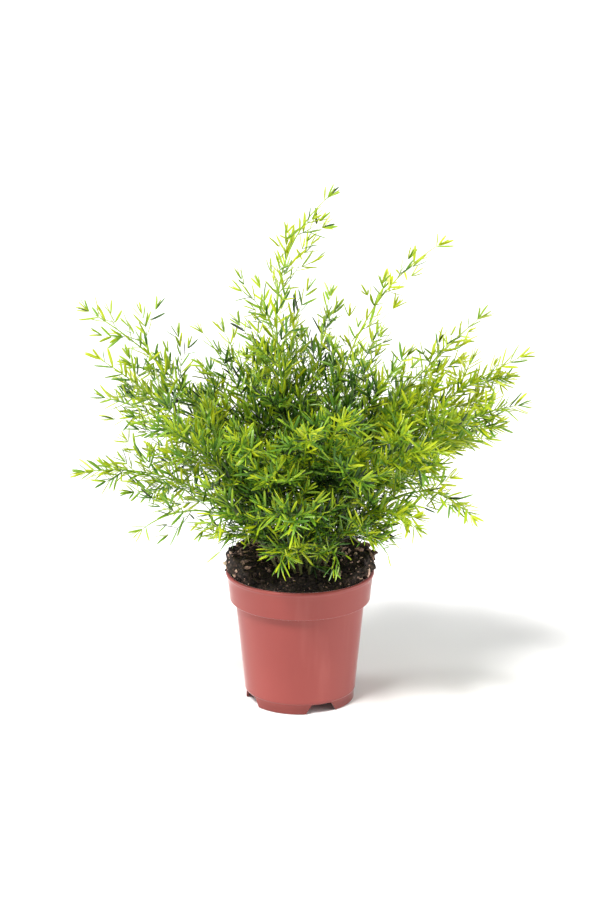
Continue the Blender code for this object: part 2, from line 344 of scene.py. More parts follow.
class Finish:
    """A material in the making: its nodes feed one Principled shader."""

    def __init__(self, name):
        self.material = bpy.data.materials.new(name)
        self.material.use_nodes = True
        self.tree = self.material.node_tree
        self.shader = self.tree.nodes["Principled BSDF"]

    def plug(self, socket, value):
        if isinstance(value, Wire):
            self.tree.links.new(value.socket, socket)
        else:
            socket.default_value = value

    def node(self, kind, inputs, output=0, **settings):
        """A node with its settings, then the values or wires of its sockets."""
        node = self.tree.nodes.new("ShaderNode" + kind)
        for name, value in settings.items():
            if name == "stops":
                self.set_stops(node.color_ramp, value)
            else:
                setattr(node, name, value)
        for name, value in inputs.items():
            self.plug(node.inputs[name], value)
        return Wire(self, node.outputs[output])

    def set_stops(self, ramp, stops):
        ramp.elements.remove(ramp.elements[1])
        ramp.elements[0].position = stops[0][0]
        ramp.elements[0].color = (*stops[0][1], 1)
        for position, colour in stops[1:]:
            ramp.elements.new(position).color = (*colour, 1)

    def place(self):
        return self.node("TexCoord", {}, output="Object")

    def number(self, attribute):
        return self.node("Attribute", {}, output="Fac", attribute_name=attribute)

    def noise(self, scale, detail=2.0, stretch=None):
        place = self.place()
        if stretch:
            place = self.node("Mapping", {"Vector": place, "Scale": stretch})
        return self.node("TexNoise", {"Vector": place, "Scale": scale, "Detail": detail})

    def cells(self, scale):
        return self.node("TexVoronoi", {"Vector": self.place(), "Scale": scale}, output="Distance")

    def ramp(self, value, stops):
        return self.node("ValToRGB", {"Fac": value}, stops=stops)

    def span(self, value, low, high):
        """0 below low, 1 above high, smooth between them."""
        limits = {"Value": value, "From Min": low, "From Max": high}
        return self.node("MapRange", limits, interpolation_type="SMOOTHSTEP")

    def mix(self, share, first, second):
        colours = {0: share, COLOUR_A: first, COLOUR_B: second}
        return self.node("Mix", colours, output=COLOUR_OUT, data_type="RGBA")

    def bump(self, height, distance, strength):
        parts = {"Height": height, "Distance": distance, "Strength": strength}
        return self.node("Bump", parts)

    def done(self, **sockets):
        """Sets the Principled shader's sockets, named with _ for a space, and gives the material."""
        for name, value in sockets.items():
            self.plug(self.shader.inputs[name.replace("_", " ")], value)
        return self.material


def colour(red, green, blue):
    return (red, green, blue, 1)


def foliage_finish():
    """Needles from deep green to lime by their tone, on stalks that turn woody at the foot."""
    finish = Finish("foliage")
    patches = finish.noise(55.0, 3.0)
    flecks = finish.noise(900.0, 2.0)
    along = finish.number("along")
    # The along term is painted shade and light: each needle is darker at its foot and lighter at its
    # tip.
    tone = finish.number("tone") + (patches - 0.5) * 0.25 + (along - 0.5) * 0.24
    green = finish.ramp(
        tone,
        (
            (0.0, (0.004, 0.016, 0.002)),
            (0.2, (0.016, 0.052, 0.006)),
            (0.4, (0.078, 0.210, 0.016)),
            (0.58, (0.195, 0.365, 0.020)),
            (0.78, (0.35, 0.48, 0.014)),
            (1.0, (0.46, 0.54, 0.010)),
        ),
    )
    green = finish.mix(finish.span(flecks, 0.62, 0.75) * 0.3, green, colour(0.36, 0.46, 0.12))
    woody = finish.mix(finish.noise(260.0, 3.0), colour(0.10, 0.13, 0.03), colour(0.25, 0.24, 0.10))
    stalk = finish.mix(finish.span(along, 0.05, 0.45), woody, green)
    surface = finish.mix(finish.number("stalk"), green, stalk)
    return finish.done(
        Base_Color=surface,
        Roughness=0.22 + finish.noise(300.0) * 0.2,
        Specular_IOR_Level=0.45,
        Normal=finish.bump(flecks, 0.0002, 0.4),
    )


def pot_finish():
    """Moulded terracotta plastic with a soft satin sheen, and painted shade that darkens its foot in
    mottled patches.
    """
    finish = Finish("pot_plastic")
    cloud = finish.noise(14.0, 3.0)
    grain = finish.noise(1500.0, 2.0)
    streaks = finish.noise(60.0, 3.0, stretch=(1.0, 1.0, 0.12))
    height = finish.node("SeparateXYZ", {"Vector": finish.place()}, output="Z")
    foot = 1 - finish.span(height, 0.5 * FOOT_HEIGHT, 1.5 * FOOT_HEIGHT)
    # Painted shade: the foot, near the ground, is darkened in mottled patches.
    painted_foot_shade = foot * (finish.span(cloud, 0.35, 0.65) * 0.5 + 0.5)
    plastic = finish.mix(cloud, colour(0.23, 0.030, 0.023), colour(0.285, 0.045, 0.036))
    plastic = finish.mix(finish.span(streaks, 0.55, 0.8) * 0.2, plastic, colour(0.42, 0.12, 0.10))
    plastic = finish.mix(painted_foot_shade * 0.85, plastic, colour(0.14, 0.013, 0.008))
    return finish.done(
        Base_Color=plastic,
        Roughness=0.46 + cloud * 0.08 + grain * 0.05,
        Specular_IOR_Level=0.4,
        Coat_Weight=0.2,
        Coat_Roughness=0.5,
        Coat_IOR=1.65,
        Sheen_Weight=1.0,
        Sheen_Roughness=0.25,
        Sheen_Tint=colour(1.0, 0.93, 0.96),
        Normal=finish.bump(grain + streaks * 0.3, 0.00006, 0.5),
    )


def mound_finish():
    """Damp dark compost with fine grains and paler dust."""
    finish = Finish("compost")
    lumps = finish.noise(240.0, 6.0)
    grains = finish.cells(700.0)
    dust = finish.span(finish.noise(420.0, 4.0), 0.52, 0.7)
    soil = finish.ramp(
        lumps,
        (
            (0.3, (0.004, 0.003, 0.002)),
            (0.5, (0.016, 0.011, 0.008)),
            (0.68, (0.050, 0.037, 0.025)),
        ),
    )
    soil = finish.mix(dust * 0.3, soil, colour(0.22, 0.13, 0.10))
    return finish.done(
        Base_Color=soil,
        Roughness=0.82 + lumps * 0.15,
        Specular_IOR_Level=0.3,
        Normal=finish.bump(lumps + grains * 0.5, 0.0012, 0.9),
    )


def crumb_finish():
    """Crumbs of peat and bark, from black to straw, and a few pinkish ones."""
    finish = Finish("compost_crumbs")
    patches = finish.noise(900.0, 3.0)
    shade = finish.number("tone") + (patches - 0.5) * 0.7
    crumb = finish.ramp(
        shade,
        (
            (0.0, (0.005, 0.003, 0.003)),
            (0.4, (0.022, 0.014, 0.010)),
            (0.6, (0.090, 0.058, 0.040)),
            (0.78, (0.35, 0.215, 0.165)),
            (0.92, (0.62, 0.40, 0.32)),
            (1.0, (0.74, 0.58, 0.43)),
        ),
    )
    return finish.done(
        Base_Color=crumb,
        Roughness=0.85,
        Specular_IOR_Level=0.3,
        Normal=finish.bump(patches, 0.0006, 0.7),
    )


# ---------------------------------------------------------------- tools for meshes

CELL_MARGIN = 0.06


def new_bm():
    """An empty mesh with the numbers that the finishes read and a map for its surface."""
    bm = bmesh.new()
    for name in ("tone", "along", "stalk"):
        bm.verts.layers.float.new(name)
    bm.loops.layers.uv.new("OFBake")
    return bm


def mesh_from(bm, name):
    mesh = bpy.data.meshes.new(name)
    bm.to_mesh(mesh)
    bm.free()
    return mesh


def add_piece(name, mesh, finish, node):
    """A finished piece that stands for a CAD node, with the given finish as its material."""
    piece = bpy.data.objects.new(name, mesh)
    bpy.context.scene.collection.objects.link(piece)
    mesh.materials.clear()
    mesh.materials.append(finish)
    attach(piece, "root")
    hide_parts(node)


def extend_ring(bm, edges, move):
    """Extrudes an open ring of edges, moves the new ring and gives its edges and points."""
    grown = bmesh.ops.extrude_edge_only(bm, edges=edges)["geom"]
    points = [part for part in grown if isinstance(part, bmesh.types.BMVert)]
    bmesh.ops.transform(bm, matrix=move, verts=points)
    moved = set(points)
    links = [part for part in grown if isinstance(part, bmesh.types.BMEdge)]
    return [edge for edge in links if moved.issuperset(edge.verts)], points


def frames_along(route, radii):
    """A place for a ring at each point of a route, square to it and with no twist."""
    along = (route[1] - route[0]).normalized()
    turn = along.to_track_quat("Z", "Y")
    frames = []
    for number, (point, radius) in enumerate(zip(route, radii)):
        before = point - route[max(number - 1, 0)]
        after = route[min(number + 1, len(route) - 1)] - point
        bisector = (before.normalized() + after.normalized()).normalized()
        turn = along.rotation_difference(bisector) @ turn
        along = bisector
        frames.append(Matrix.LocRotScale(point, turn, Vector.Fill(3, radius)))
    return frames


def rod(route, radii, sides, points=(1.0, 1.0)):
    """A round bar along a route, drawn to a point at each end that stands out by a share of
    its radius there. Its map has the length along U and the turn along V."""
    frames = frames_along(route, radii)
    bm = new_bm()
    made = bmesh.ops.create_circle(bm, segments=sides, radius=1.0, matrix=frames[0])["verts"]
    first = ring = list({edge for vert in made for edge in vert.link_edges})
    rings = [made]
    for before, after in zip(frames, frames[1:]):
        ring, made = extend_ring(bm, ring, after @ before.inverted())
        rings.append(made)
    spots = {}
    for number, (frame, made) in enumerate(zip(frames, rings)):
        inverse = frame.inverted()
        for vert in made:
            x, y, _ = inverse @ vert.co
            around = round((math.atan2(y, x) - math.pi / 2) / math.tau * sides) % sides
            spots[vert] = ((number + 1) / (len(frames) + 1), around)
    ends = ((first, frames[0], -points[0], 0.0), (ring, frames[-1], points[1], 1.0))
    for edges, frame, reach, share in ends:
        _, made = extend_ring(bm, edges, Matrix())
        bmesh.ops.pointmerge(bm, verts=made, merge_co=frame @ Vector((0, 0, reach)))
        spots[next(vert for vert in made if vert.is_valid)] = (share, None)
    bmesh.ops.recalc_face_normals(bm, faces=bm.faces)
    map_bar(bm, spots, sides)
    return mesh_from(bm, "rod")


def map_bar(bm, spots, sides):
    """Maps a bar: each point's share of the length along U, its turn along V."""
    layer = bm.loops.layers.uv["OFBake"]
    along = bm.verts.layers.float["along"]
    for vert, (share, _) in spots.items():
        vert[along] = share
    for face in bm.faces:
        face.smooth = True
        turns = [spots[vert][1] for vert in face.verts if spots[vert][1] is not None]
        wraps = max(turns) - min(turns) > 1
        middle = (min(turns) + max(turns)) / 2 if not wraps else sides - 0.5
        for loop in face.loops:
            share, turn = spots[loop.vert]
            if turn is None:
                turn = middle
            elif wraps and turn == 0:
                turn = sides
            loop[layer].uv = (share, turn / sides)


def stamp(bm, shape, place, cell, **numbers):
    """Adds a copy of a small mesh in its place, with its own cell of the map."""
    points, faces = len(bm.verts), len(bm.faces)
    bm.from_mesh(shape)
    bm.verts.ensure_lookup_table()
    bm.faces.ensure_lookup_table()
    layers = [(bm.verts.layers.float[name], value) for name, value in numbers.items()]
    for vert in bm.verts[points:]:
        vert.co = place @ vert.co
        for layer, value in layers:
            vert[layer] = value
    layer = bm.loops.layers.uv["OFBake"]
    low, size = cell
    for face in bm.faces[faces:]:
        for loop in face.loops:
            spot = loop[layer].uv
            loop[layer].uv = (low.x + spot.x * size.x, low.y + spot.y * size.y)


def stamp_rod(bm, route, radii, sides, cell, **numbers):
    shape = rod(route, radii, sides)
    stamp(bm, shape, Matrix(), cell, **numbers)
    bpy.data.meshes.remove(shape)


def map_cells(count, low, high, stretch=1.0):
    """Low corner and size of each of count equal cells that fill a box of the map."""
    width, height = high[0] - low[0], high[1] - low[1]
    columns = max(1, math.ceil(math.sqrt(count * width / height / stretch)))
    rows = max(1, math.ceil(count / columns))
    size = Vector((width / columns, height / rows))
    cells = []
    for number in range(count):
        row, column = divmod(number, columns)
        corner = Vector((low[0] + size.x * column, low[1] + size.y * row))
        cells.append((corner + size * CELL_MARGIN, size * (1 - 2 * CELL_MARGIN)))
    return cells


# ---------------------------------------------------------------- pot

POT_STEPS = 144
BEAD_HEIGHT = 3.4 * MM
LEDGE = 1.3 * MM
SHARP_ANGLE = math.radians(38)


def arc(middle, radius, start, end, steps):
    """Points (radius, height) along an arc, its angles in degrees from the outward level."""
    angles = [math.radians(start + (end - start) * step / steps) for step in range(steps + 1)]
    return [(middle[0] + radius * math.cos(a), middle[1] + radius * math.sin(a)) for a in angles]


def pot_outline():
    """Half the pot's section from the floor inside, over the rim, down to the floor beneath."""
    bead = 0.5 * BEAD_HEIGHT
    bead_middle = (RIM_RADIUS - bead, POT_HEIGHT - bead)
    foot_inner = FOOT_RADIUS - 1.4 * WALL
    body_inner = BODY_FOOT_RADIUS - WALL
    inside = [
        (0.0, FLOOR_TOP),
        (body_inner - 3.0 * MM, FLOOR_TOP),
        *arc((body_inner - 2.4 * MM, FLOOR_TOP + 2.6 * MM), 2.4 * MM, -70, 0, 3),
        (BODY_TOP_RADIUS - WALL, BAND_BOTTOM - 0.4 * MM),
        (BAND_FOOT_RADIUS - WALL - 0.6 * MM, BAND_BOTTOM + LEDGE),
        (BAND_FOOT_RADIUS - WALL + 0.4 * MM, BAND_BOTTOM + 8 * MM),
        (RIM_RADIUS - BEAD_HEIGHT + 0.3 * MM, POT_HEIGHT - BEAD_HEIGHT),
    ]
    rim = arc(bead_middle, bead, 180, -50, 12)
    band = [
        (RIM_RADIUS - 1.15 * MM, POT_HEIGHT - 4.2 * MM),
        (RIM_RADIUS - 1.5 * MM, POT_HEIGHT - 8.0 * MM),
        (BAND_FOOT_RADIUS + 0.8 * MM, BAND_BOTTOM + 8 * MM),
        *arc((BAND_FOOT_RADIUS - 1.0 * MM, BAND_BOTTOM + 1.2 * MM), 1.2 * MM, 5, -75, 5),
    ]
    body = [
        (BODY_TOP_RADIUS + 1.8 * MM, BAND_BOTTOM - 0.2 * MM),
        *arc((BODY_TOP_RADIUS + 1.4 * MM, BAND_BOTTOM - 1.5 * MM), 1.2 * MM, 95, 178, 5),
        (BODY_TOP_RADIUS - 0.1 * MM, BAND_BOTTOM - 6 * MM),
        (BODY_FOOT_RADIUS + 0.8 * MM, FOOT_HEIGHT + 9 * MM),
        *arc((BODY_FOOT_RADIUS - 1.0 * MM, FOOT_HEIGHT + 1.6 * MM), 1.2 * MM, 5, -60, 4),
    ]
    foot = [
        (FOOT_RADIUS, FOOT_HEIGHT - 0.3 * MM),
        (FOOT_RADIUS - 0.1 * MM, 1.2 * MM),
        *arc((FOOT_RADIUS - 0.9 * MM, 0.8 * MM), 0.8 * MM, -10, -90, 3),
        *arc((foot_inner + 0.6 * MM, 0.6 * MM), 0.6 * MM, -90, -180, 3),
        (foot_inner, FOOT_HEIGHT - 1.0 * MM),
        (foot_inner - 1.0 * MM, FOOT_HEIGHT),
        (0.0, FOOT_HEIGHT),
    ]
    return inside + rim + band + body + foot


def notch_cutter():
    """Four rounded wedges that flare towards the ground and cut the foot ring into feet."""
    top, foot, high = NOTCH_TOP_WIDTH / 2, NOTCH_FOOT_WIDTH / 2, FOOT_HEIGHT - 0.1 * MM
    corner, toe = 2.2 * MM, 1.6 * MM
    half = [
        (foot + toe, -1.0 * MM),
        *arc((foot + toe, toe), toe, 270, 190, 5),
        *arc((top - corner, high - corner), corner, 20, 90, 5),
    ]
    outline = half + [(-x, z) for x, z in reversed(half)]
    bm = bmesh.new()
    for number in range(FEET):
        points = [bm.verts.new((FOOT_RADIUS - 7 * MM, x, z)) for x, z in outline]
        face = bm.faces.new(points)
        grown = bmesh.ops.extrude_face_region(bm, geom=[face])["geom"]
        moved = [part for part in grown if isinstance(part, bmesh.types.BMVert)]
        bmesh.ops.translate(bm, vec=(14 * MM, 0, 0), verts=moved)
        turn = Matrix.Rotation(math.radians(NOTCH_HEADING + number * 360 / FEET), 3, "Z")
        bmesh.ops.rotate(bm, verts=points + moved, cent=(0, 0, 0), matrix=turn)
    bmesh.ops.recalc_face_normals(bm, faces=bm.faces)
    return bm


def drain_cutter():
    bm = bmesh.new()
    for number in range(DRAIN_HOLES):
        turn = Matrix.Rotation(math.tau * number / DRAIN_HOLES, 4, "Z")
        middle = Vector((DRAIN_RING_RADIUS, 0, (FOOT_HEIGHT + FLOOR_TOP) / 2))
        bmesh.ops.create_cone(
            bm,
            cap_ends=True,
            segments=24,
            radius1=DRAIN_RADIUS,
            radius2=DRAIN_RADIUS,
            depth=6 * MM,
            matrix=turn @ Matrix.Translation(middle),
        )
    return bm


def cut_away(mesh, cutters):
    """The mesh with the cutters' shapes removed from it."""
    target = bpy.data.objects.new("pot_blank", mesh)
    bpy.context.scene.collection.objects.link(target)
    tools = []
    for bm in cutters:
        tool = bpy.data.objects.new("pot_tool", mesh_from(bm, "pot_tool"))
        bpy.context.scene.collection.objects.link(tool)
        cut = target.modifiers.new("cut", "BOOLEAN")
        cut.object, cut.operation, cut.solver = tool, "DIFFERENCE", "EXACT"
        tools.append(tool)
    depsgraph = bpy.context.evaluated_depsgraph_get()
    result = bpy.data.meshes.new_from_object(target.evaluated_get(depsgraph))
    for helper in [target] + tools:
        bpy.data.objects.remove(helper)
    return result


def turned(outline, steps):
    """Spins an outline of (radius, height) points round the axis, on which its ends lie."""
    bm = bmesh.new()
    points = [bm.verts.new((radius, 0, height)) for radius, height in outline]
    edges = [bm.edges.new(pair) for pair in zip(points, points[1:])]
    bmesh.ops.spin(
        bm,
        geom=points + edges,
        axis=(0, 0, 1),
        cent=(0, 0, 0),
        angle=math.tau,
        steps=steps,
        use_merge=True,
    )
    bmesh.ops.remove_doubles(bm, verts=bm.verts, dist=0.01 * MM)
    bmesh.ops.recalc_face_normals(bm, faces=bm.faces)
    return bm


def make_pot():
    bm = turned(pot_outline(), POT_STEPS)
    for face in bm.faces:
        face.smooth = True
    shell = cut_away(mesh_from(bm, "pot_shell"), [notch_cutter(), drain_cutter()])
    shell.set_sharp_from_angle(angle=SHARP_ANGLE)
    add_piece("pot_shell", shell, pot_finish(), "pot")


# ---------------------------------------------------------------- compost

MOUND_RINGS = 60
MOUND_STEPS = 240
CRUMBS = 1500
RIM_CRUMBS = 420
CLUMPS = 80
FIBRES = 120
CLOD = 7.5 * MM
LEVEL_CLODS = 1.6 * MM
HEAPED_CLODS = 4.4 * MM
GRIT = 1.1 * MM
GRIT_SCALE = 160
OVERHANG = 8.0 * MM
OVERHANG_SCALE = 130
PALE_SHARE = 0.09
PALE_GAIN = 0.5
EXTRA_HEAP = 4.5 * MM


def compost_surface(x, y):
    """The compost's height with its clods, larger where it is heaped."""
    radius = math.hypot(x, y)
    edge = fall_to(radius, COMPOST_EDGE_RADIUS + 1 * MM, 4 * MM)
    lump = 0.55 - noise.voronoi(Vector((x, y, 0)) / CLOD)[0][0]
    rough = noise.fractal(Vector((x, y, 0)) * GRIT_SCALE, 0.8, 2.1, 4)
    size = LEVEL_CLODS + (HEAPED_CLODS - LEVEL_CLODS) * heaped(x, y)
    bank = heaped(x, y) * rise_from(radius, 26 * MM, 18 * MM) * EXTRA_HEAP
    return compost_height(x, y) + (bank + lump * size + rough * GRIT) * edge


def spread(x, y, height):
    """How far the heap's bank leans out over the pot's rim at a height."""
    above = rise_from(height, POT_HEIGHT + 0.8 * MM, 4 * MM)
    outer = rise_from(math.hypot(x, y), 42 * MM, 9 * MM)
    ragged = 0.75 + 0.5 * noise.noise(Vector((x, y, height)) * OVERHANG_SCALE)
    return OVERHANG * heaped(x, y) * above * outer * ragged


def on_compost(heading, radius):
    """A point of the compost's surface, which is steep at the sides and back."""
    outward = Vector((math.cos(heading), math.sin(heading), 0))
    point = outward * radius
    point.z = compost_surface(point.x, point.y)
    return point + outward * spread(point.x, point.y, point.z)


def add_compost(name, bm, finish):
    add_piece(name, mesh_from(bm, name), finish, "compost")


def make_mound():
    """The heap of compost, which fills the pot down to its floor."""
    edge = COMPOST_EDGE_RADIUS
    shares = [math.sqrt(number / MOUND_RINGS) for number in range(MOUND_RINGS + 1)]
    rings = [(edge * share, COMPOST_EDGE) for share in shares]
    sides = [
        (BAND_FOOT_RADIUS - WALL - 1.0 * MM, BAND_BOTTOM + 4 * MM),
        (BODY_TOP_RADIUS - WALL - 0.4 * MM, BAND_BOTTOM - 2 * MM),
        (BODY_FOOT_RADIUS - WALL - 0.6 * MM, FLOOR_TOP + 4 * MM),
        (BODY_FOOT_RADIUS - WALL - 4.0 * MM, FLOOR_TOP + 0.3 * MM),
        (0.0, FLOOR_TOP + 0.3 * MM),
    ]
    bm = turned(rings + sides, MOUND_STEPS)
    for vert in bm.verts:
        if vert.co.z > COMPOST_EDGE - 0.1 * MM:
            vert.co = on_compost(math.atan2(vert.co.y, vert.co.x), math.hypot(vert.co.x, vert.co.y))
    for face in bm.faces:
        face.smooth = True
    add_compost("compost_mound", bm, mound_finish())


def crumb_shapes(detail):
    """Three ragged lumps about one unit across, finer with more detail."""
    shapes = []
    for number in range(3):
        bm = new_bm()
        bmesh.ops.create_icosphere(bm, subdivisions=detail, radius=0.5, calc_uvs=True)
        for vert in bm.verts:
            vert.co *= 1 + 0.8 * noise.noise(vert.co * 3 + Vector((7.3 * number, 1.7, 0)))
        shapes.append(mesh_from(bm, "crumb"))
    return shapes


def crumb_places():
    """Where each crumb lies and its size: over the heap, then on the rim, most at its back."""
    chance = random.Random(5)
    places = []
    for _ in range(CRUMBS):
        heading = chance.uniform(0, math.tau)
        coarse = 4.0 + 2.5 * heaped(math.cos(heading), math.sin(heading))
        size = (1.0 + coarse * chance.random() ** 2.8) * MM
        radius = (COMPOST_EDGE_RADIUS + 0.6 * MM) * math.sqrt(chance.uniform(0.02, 1))
        places.append((on_compost(heading, radius) + Vector((0, 0, 0.12 * size)), size))
    while len(places) < CRUMBS + RIM_CRUMBS:
        heading = chance.uniform(0, math.tau)
        level = direction(math.degrees(heading), 0)
        share = heaped(level.x, level.y)
        if chance.random() > max(share, 0.05):
            continue
        size = (1.3 + 3.4 * chance.random() ** 2 * share) * MM
        radius = RIM_RADIUS + chance.uniform(-4.5, -0.8) * MM
        pile = chance.uniform(0, 9.5) * share * MM
        inward = level * (radius + 1.2 * share * MM - 0.3 * pile)
        places.append((inward + Vector((0, 0, POT_HEIGHT + 0.35 * size + pile)), size))
    return places


def clump_places():
    """Where the larger clumps lie on the heap's sides and back, and their size."""
    chance = random.Random(8)
    places = []
    while len(places) < CLUMPS:
        heading = chance.uniform(0, math.tau)
        level = direction(math.degrees(heading), 0)
        if chance.random() > heaped(level.x, level.y):
            continue
        size = chance.uniform(3.4, 6.2) * MM
        radius = COMPOST_EDGE_RADIUS * chance.uniform(0.7, 1.0)
        places.append((on_compost(heading, radius) + Vector((0, 0, 0.1 * size)), size))
    return places


def make_crumbs():
    """Loose crumbs and clumps of peat and bark over the compost."""
    chance = random.Random(6)
    small, large = crumb_shapes(1), crumb_shapes(3)
    bm = new_bm()
    clumps = clump_places()
    places = clumps + crumb_places()
    for number, cell in enumerate(map_cells(len(places), (0, 0), (1, 1))):
        spot, size = places[number]
        shapes = large if number < len(clumps) else small
        squash = Vector((1.2, chance.uniform(0.35, 0.85), chance.uniform(0.3, 0.7))) * size
        axis = Vector([chance.uniform(-1, 1) for _ in range(3)]).normalized()
        turn = Quaternion(axis, chance.uniform(0, math.pi))
        pale = chance.random() < PALE_SHARE + PALE_GAIN * heaped(spot.x, spot.y)
        tone = chance.uniform(0.55, 1.0) if pale else chance.uniform(0.0, 0.46)
        stamp(bm, chance.choice(shapes), Matrix.LocRotScale(spot, turn, squash), cell, tone=tone)
    add_compost("compost_crumbs", bm, crumb_finish())


def make_fibres():
    """Thin fibres of bark and root that lie on the compost."""
    chance = random.Random(9)
    bm = new_bm()
    for cell in map_cells(FIBRES, (0, 0), (1, 1), stretch=4.0):
        heading, lie = chance.uniform(0, math.tau), chance.uniform(0, math.tau)
        radius = (COMPOST_EDGE_RADIUS - 4 * MM) * math.sqrt(chance.uniform(0.05, 1))
        middle = Vector((radius * math.cos(heading), radius * math.sin(heading), 0))
        length, curl = chance.uniform(3, 8) * MM, chance.uniform(-0.8, 0.8)
        lift = chance.uniform(0.2, 0.8) * MM
        tilt = chance.uniform(-0.25, 0.25)
        base = compost_surface(middle.x, middle.y) + lift
        route = []
        for step in range(6):
            share = step / 5 - 0.5
            point = middle + direction(math.degrees(lie + curl * share), 0) * length * share
            route.append(Vector((point.x, point.y, base + tilt * length * share)))
        thick = chance.uniform(0.14, 0.38) * MM
        stamp_rod(bm, route, [thick] * 6, 5, cell, tone=chance.uniform(0.25, 0.8))
    add_compost("compost_fibres", bm, crumb_finish())


# ---------------------------------------------------------------- fronds

STALK_MAP_TOP = 0.14
STEM_STEPS = 26
SHOOT_STEPS = 9
TWIG_STEPS = 4
NEEDLE_SPACING = 4.9 * MM
NEEDLE_LENGTHS = (12.5 * MM, 18 * MM)
NEEDLE_WIDTHS = (0.9, 1.25)
NEEDLE_LEAN = (30, 56)
FAN_LEAN = (8, 30)
TWIG_LEAN = (34, 54)
TWIG_START = 0.16
STEM_TWIG_SPACING = 10 * MM
STEM_TWIG_LENGTH = 26 * MM
SHOOT_TWIG_SPACING = 10.8 * MM
SHOOT_TWIG_LENGTH = 22 * MM
TWIG_RADIUS = 0.24 * MM
TWIG_TIP_RADIUS = 0.12 * MM
LONG_SHOOT = 20 * MM
THIN_FRONDS = {2: 0.75, 7: 0.4, 15: 0.8, 16: 0.65, 17: 0.65}
FRESH_FRONDS = (20, 21)
SLIM = 0.85

# The bush's outline from the front, where what lies further back is seen higher.
SIGHT_SLOPE = 0.29
BUSH_TOP = 292 * MM
BUSH_MIDDLE = -15 * MM
DIP_DEPTH = 22 * MM
# On each side: how fast the top falls, where the dip beside the middle ends, and the height
# under which few needles grow.
LEFT_SIDE = (0.36, 95 * MM, 180 * MM)
RIGHT_SIDE = (0.22, 115 * MM, 168 * MM)
LEFT_GAP_HEIGHT = 222 * MM
BARE_HEIGHT = 137 * MM
BARE_SHARE = 0.93

# Tones from 0, deep green, to 1, lime. The inside tone is painted shade, and the outside, top, right
# and side gains are painted light in the needles' colour.
SHADED_INSIDE_TONE = 0.21
OUTSIDE_LIGHT_GAIN = 0.31
TOP_LIGHT_GAIN = 0.14
RIGHT_LIGHT_GAIN = 0.13
SIDE_LIGHT_GAIN = 0.06
FRONT_LOSS = 0.08
TIP_GAIN = 0.08
FRESH_GAIN = 0.34
FRESH_SHOOT_GAIN = 0.28
FRESH_SHOOTS = 0.12
STALK_LOSS = 0.15


def needle_shapes():
    """Needles one unit long along +Y: flat, keeled, even in width, short at the point."""
    shapes = []
    for bend, sway in ((0.10, 0.03), (-0.12, -0.04), (0.02, 0.10), (-0.05, -0.11), (0.16, 0.0)):
        route = [Vector((0, y, 0)) for y in (0.07, 0.3, 0.62, 0.86)]
        shape = rod(route, [0.036, 0.062, 0.064, 0.046], 4, points=(0.07 / 0.036, 0.14 / 0.046))
        for vert in shape.vertices:
            x, y, z = vert.co
            vert.co = (x + sway * y * y, y, z * 0.4 + bend * (y * y - 0.5 * y))
        shape.shade_flat()
        shapes.append(shape)
    return shapes


